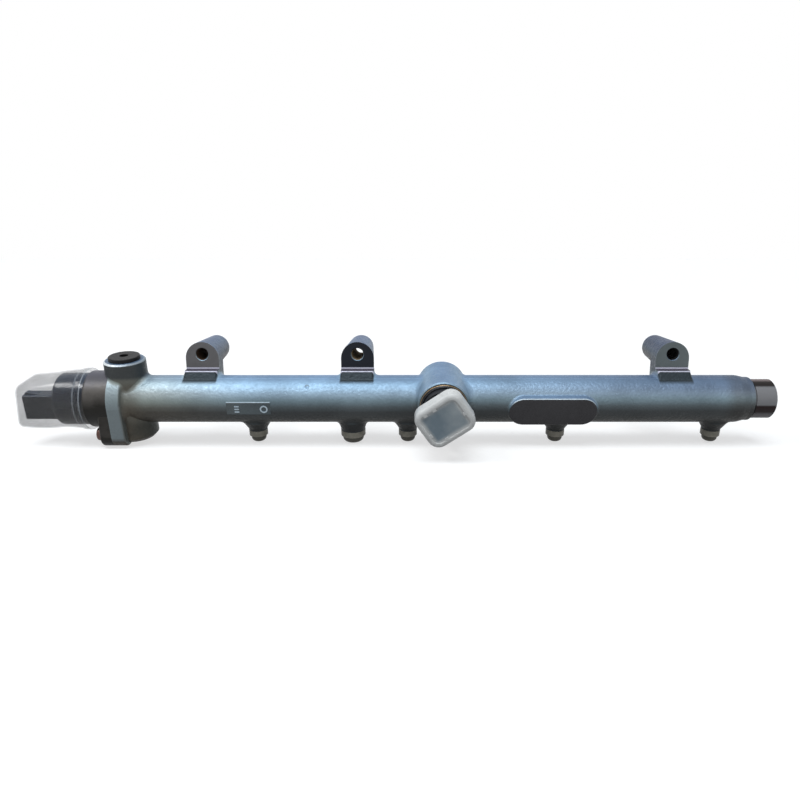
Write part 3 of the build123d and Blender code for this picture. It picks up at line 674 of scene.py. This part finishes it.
sensor = {"angle": 100, "offset": 0.005}
sensorCap = {"end": 0.0485, "turn": 34.5, "panelHalf": (0.0123, 0.0100), "panelSoft": 0.0030,
             "panelEdge": 0.0002, "panelDepth": (-0.0016, -0.0004), "depthSoft": 0.0001,
             "clouds": (55, 3), "drift": 16, "grain": 900, "grainHeight": 0.00004,
             "frame": ((0.3, (0.47, 0.475, 0.47)), (0.65, (0.58, 0.59, 0.58))),
             "panel": ((0.35, (0.125, 0.17, 0.205)), (0.8, (0.30, 0.34, 0.36))),
             "roughness": (0.32, 0.46), "milk": 0.25, "milkDepth": 0.002}


def sensorAxes():
    # The sensor's centre line: a point on it, its way out and its way up
    out, up = railDirection(sensor["angle"]), railDirection(sensor["angle"] - 90)
    return Vector((middle("sensor_cap").x, *railAxis[1:])) + up * sensor["offset"], out, up


def frostedFinish():
    # Milky soft plastic: a pale frame with nubs round a thin dim panel
    material, tree, shader = startMaterial("frostedPlastic")
    place = coordinates(tree)[0]
    centre, out, up = sensorAxes()
    origin = centre + out * sensorCap["end"]
    turn, right = math.radians(sensorCap["turn"]), Vector((1, 0, 0))
    wide = right * math.cos(turn) + up * math.sin(turn)
    tall = up * math.cos(turn) - right * math.sin(turn)
    panel = band(tree, along(tree, place, origin, out), *sensorCap["panelDepth"], sensorCap["depthSoft"])
    for axis, half in zip((wide, tall), sensorCap["panelHalf"]):
        size = combine(tree, "ABSOLUTE", along(tree, place, origin, axis))
        start, end = half - sensorCap["panelSoft"], half + sensorCap["panelEdge"]
        panel = both(tree, panel, fade(tree, size, start, end, 1, 0))
    cloud = noise(tree, place, *sensorCap["clouds"])
    across = combine(tree, "MULTIPLY", along(tree, place, origin, wide), sensorCap["drift"])
    colour = blendColour(tree, panel, ramp(tree, cloud, sensorCap["frame"]),
                         ramp(tree, combine(tree, "ADD", cloud, across), sensorCap["panel"]))
    tree.links.new(colour, shader.inputs["Base Color"])
    grained(tree, shader, place, sensorCap["grain"], sensorCap["grainHeight"], sensorCap["roughness"])
    shader.inputs["Subsurface Weight"].default_value = sensorCap["milk"]
    shader.inputs["Subsurface Radius"].default_value = (1, 1, 1)
    shader.inputs["Subsurface Scale"].default_value = sensorCap["milkDepth"]
    return material


# The caps' downward tips are painted darker as shade
portCaps = {"angle": 190, "tipStart": (0.0243, 0.0251), "tip": (0.045, 0.043, 0.032),
            "collar": ((0.3, (0.16, 0.155, 0.125)), (0.65, (0.245, 0.23, 0.19))),
            "clouds": (260, 3), "grain": 900, "grainHeight": 0.00005, "roughness": (0.42, 0.55)}


def portCapFinish():
    # Natural soft plastic: pale collar, and a darker tip painted as shade
    material, tree, shader = startMaterial("creamPlastic")
    place = coordinates(tree)[0]
    cloud = noise(tree, place, *portCaps["clouds"])
    tip = fade(tree, fromAxis(tree, place, portCaps["angle"]), *portCaps["tipStart"])
    colour = blendColour(tree, tip, ramp(tree, cloud, portCaps["collar"]), portCaps["tip"])
    tree.links.new(colour, shader.inputs["Base Color"])
    grained(tree, shader, place, portCaps["grain"], portCaps["grainHeight"], portCaps["roughness"])
    return material


passivated = {"dark": (0.012, 0.013, 0.016), "gold": (0.22, 0.15, 0.08), "goldRing": (0.0141, 0.0149),
              "silver": (0.20, 0.20, 0.20), "silverRing": (0.0130, 0.0134), "ringSoft": 0.0001,
              "screw": (0.10, 0.055, 0.045), "screwX": (-0.10, -0.11),
              "grain": 700, "grainHeight": 0.00003, "roughness": (0.24, 0.36), "metal": 0.7}


def passivatedFinish():
    # The sensor's face is dark with a bright line inside a brassy edge; the screws are reddish
    material, tree, shader = startMaterial("zincYellow")
    place = coordinates(tree)[0]
    centre, _, up = sensorAxes()
    radius = distance(tree, along(tree, place, centre, (1, 0, 0)), along(tree, place, centre, up))
    gold = band(tree, radius, *passivated["goldRing"], passivated["ringSoft"])
    silver = band(tree, radius, *passivated["silverRing"], passivated["ringSoft"])
    screws = fade(tree, parts(tree, place)[0], *passivated["screwX"])
    colour = blendColour(tree, gold, passivated["dark"], passivated["gold"])
    colour = blendColour(tree, silver, colour, passivated["silver"])
    colour = blendColour(tree, screws, colour, passivated["screw"])
    tree.links.new(colour, shader.inputs["Base Color"])
    grained(tree, shader, place, passivated["grain"], passivated["grainHeight"], passivated["roughness"])
    shader.inputs["Metallic"].default_value = passivated["metal"]
    return material


finishes = {
    "forged_steel": railFinish(),
    # Painted shade: the dark steel, the plastics and the rubber are lighter where they face up, the dark
    # plastic bluish on top
    "dark_steel": paintedShadeFinish(
        "darkSteel",
        ((0.2, (0.003, 0.003, 0.0025)), (0.45, (0.012, 0.011, 0.009)), (0.7, (0.085, 0.078, 0.072)),
         (0.85, (0.07, 0.068, 0.075)), (1.0, (0.08, 0.08, 0.10))),
        roughness=0.4, gloss=0.2, metallic=0.25, grain=900, height=0.00005),
    "bright_steel": plainFinish("brightSteel", (0.35, 0.35, 0.36), (0.45, 0.45, 0.46), roughness=0.3,
                                metallic=1.0, grain=900),
    "zinc_yellow": passivatedFinish(),
    "copper_wire": plainFinish("copperWire", (0.55, 0.22, 0.1), (0.65, 0.28, 0.13), roughness=0.3,
                               metallic=1.0, grain=900),
    "dark_plastic": paintedShadeFinish(
        "darkPlastic",
        ((0.3, (0.014, 0.014, 0.013)), (0.5, (0.014, 0.016, 0.018)), (0.7, (0.005, 0.010, 0.022)),
         (1.0, (0.035, 0.055, 0.09))),
        roughness=0.2, gloss=0.5, height=0.00002),
    "black_plastic": paintedShadeFinish(
        "blackPlastic", ((0.3, (0.005, 0.006, 0.008)), (1.0, (0.012, 0.014, 0.018))),
        roughness=0.45, gloss=0.2),
    "bobbin_plastic": plainFinish("bobbinPlastic", (0.3, 0.25, 0.2), (0.4, 0.33, 0.26), roughness=0.5),
    "board": plainFinish("board", (0.02, 0.12, 0.05), (0.03, 0.16, 0.07), roughness=0.5),
    "tin_pins": plainFinish("tinPins", (0.5, 0.5, 0.5), (0.6, 0.6, 0.6), roughness=0.3, metallic=1.0),
    "clear_plastic": clearFinish(),
    "frosted_plastic": frostedFinish(),
    "cream_plastic": portCapFinish(),
    "rubber_seal": paintedShadeFinish(
        "rubberSeal", ((0.3, (0.006, 0.006, 0.006)), (1.0, (0.011, 0.011, 0.012))),
        roughness=0.5, gloss=0.2, grain=900, height=0.00004),
    "support_white": plainFinish("supportWhite", (0.7, 0.7, 0.68), (0.8, 0.8, 0.78), roughness=0.5,
                                 grain=900, height=0.00005),
}
slotOf = {part["node"]: part["material_slot"] for part in frame["record"]["subparts"]}
for name, body in nodes.items():
    material = finishes[slotOf[name]]
    if body.data.materials:
        body.data.materials[0] = material
    else:
        body.data.materials.append(material)

print("clear cap")

# Lengths along the valve start at the cap's foot; hold and step keep the rim crisp under the smoothing
clearCap = {
    "rimEnd": 0.0043, "drumEnd": 0.0184, "boxStart": 0.0247, "tip": 0.0430,
    "rimRadius": 0.0199, "drumRadius": 0.0192, "drumEndRadius": 0.0180, "hold": 0.0004, "step": 0.0001,
    "wide": 0.030, "tall": 0.0312, "drop": 0.0012, "taper": 0.93, "lean": 0.0036, "corner": 0.0060,
    "endRound": 0.0032, "endSteps": 5, "wall": 0.0007, "sides": 28, "smoothing": 2,
}


def valveMatrix():
    # Local Z runs out from the cap's foot along the valve, local Y up along the return boss
    up = railDirection(returnBoss["angle"])
    out = Vector((-1, 0, 0))
    turn = Matrix((up.cross(out), up, out)).transposed().to_4x4()
    return Matrix.Translation((capFoot, *railAxis[1:])) @ turn


def faceHeight(face):
    return face.calc_center_median().z


def openEdges(shape):
    return [edge for edge in shape.edges if len(edge.link_faces) == 1]


def drawOut(shape, edges, height, radius):
    # Carries a round rim on to a new height and radius
    new = bmesh.ops.extrude_edge_only(shape, edges=edges)["geom"]
    verts = [item for item in new if isinstance(item, bmesh.types.BMVert)]
    now = max(vert.co.xy.length for vert in verts)
    bmesh.ops.scale(shape, vec=(radius / now, radius / now, 1), verts=verts)
    bmesh.ops.translate(shape, vec=(0, 0, height - verts[0].co.z), verts=verts)
    return [item for item in new if isinstance(item, bmesh.types.BMEdge)]


def roundEdges(shape, edges, offset, segments):
    bmesh.ops.bevel(shape, geom=edges, offset=offset, segments=segments, affect="EDGES", profile=0.5,
                    material=-1)


def drawBox(shape, plan):
    # The rounded box over the connector, narrower towards its leaning end and open towards the drum
    length = plan["tip"] - plan["boxStart"]
    box = bmesh.ops.create_cube(shape, size=1)["verts"]
    bmesh.ops.scale(shape, vec=(plan["wide"], plan["tall"], length), verts=box)
    bmesh.ops.translate(shape, vec=(0, -plan["drop"], plan["boxStart"] + length / 2), verts=box)
    corners = [edge for edge in shape.edges if abs(edge.verts[0].co.z - edge.verts[1].co.z) > length / 2]
    roundEdges(shape, corners, plan["corner"], plan["sides"] // 4 - 1)
    end = max(shape.faces, key=faceHeight)
    roundEdges(shape, list(end.edges), plan["endRound"], plan["endSteps"])
    centre = Matrix.Translation((0, plan["drop"], 0))
    for vert in shape.verts:
        share = 1 - (1 - plan["taper"]) * (vert.co.z - plan["boxStart"]) / length
        bmesh.ops.scale(shape, vec=(share, share, 1), verts=[vert], space=centre)
        lean = plan["lean"] * (vert.co.z - plan["boxStart"]) / length * vert.co.y / plan["tall"]
        bmesh.ops.translate(shape, vec=(0, 0, -lean), verts=[vert])
    mouth = min(shape.faces, key=faceHeight)
    bmesh.ops.delete(shape, geom=[mouth], context="FACES_ONLY")


def drawDrum(shape, plan):
    # From the box's mouth over the round drum to the thicker rim
    boxMouth = openEdges(shape)
    circle = bmesh.ops.create_circle(shape, radius=plan["drumEndRadius"], segments=plan["sides"])["verts"]
    bmesh.ops.translate(shape, vec=(0, 0, plan["drumEnd"]), verts=circle)
    rim = [edge for edge in shape.edges if edge.verts[0] in circle and edge.verts[1] in circle]
    bmesh.ops.bridge_loops(shape, edges=boxMouth + rim)
    rings = ((plan["rimEnd"] + plan["hold"], plan["drumRadius"]),
             (plan["rimEnd"], plan["drumRadius"] + plan["step"]),
             (plan["rimEnd"] - plan["step"], plan["rimRadius"]),
             (plan["hold"], plan["rimRadius"]),
             (0, plan["rimRadius"]))
    for height, radius in rings:
        rim = drawOut(shape, rim, height, radius)


def finishPiece(name, shape, finish, matrix):
    bmesh.ops.transform(shape, matrix=matrix, verts=shape.verts)
    for face in shape.faces:
        face.smooth = True
    mesh = bpy.data.meshes.new(name)
    shape.to_mesh(mesh)
    shape.free()
    mesh.materials.append(finish)
    piece = addObject(name, mesh)
    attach(piece, "root")
    return piece


def makeClearCap():
    plan = clearCap
    shape = bmesh.new()
    drawBox(shape, plan)
    drawDrum(shape, plan)
    bmesh.ops.recalc_face_normals(shape, faces=shape.faces)
    if max(shape.faces, key=faceHeight).normal.z < 0:
        bmesh.ops.reverse_faces(shape, faces=shape.faces)
    piece = finishPiece("clearCap", shape, finishes["clear_plastic"], valveMatrix())
    wall = piece.modifiers.new("wall", "SOLIDIFY")
    wall.thickness = plan["wall"]
    wall.offset = -1
    soft = piece.modifiers.new("soft", "SUBSURF")
    soft.levels = soft.render_levels = plan["smoothing"]
    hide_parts("valve_clear_cap")


makeClearCap()

bpy.context.scene.view_settings.view_transform = "Standard"
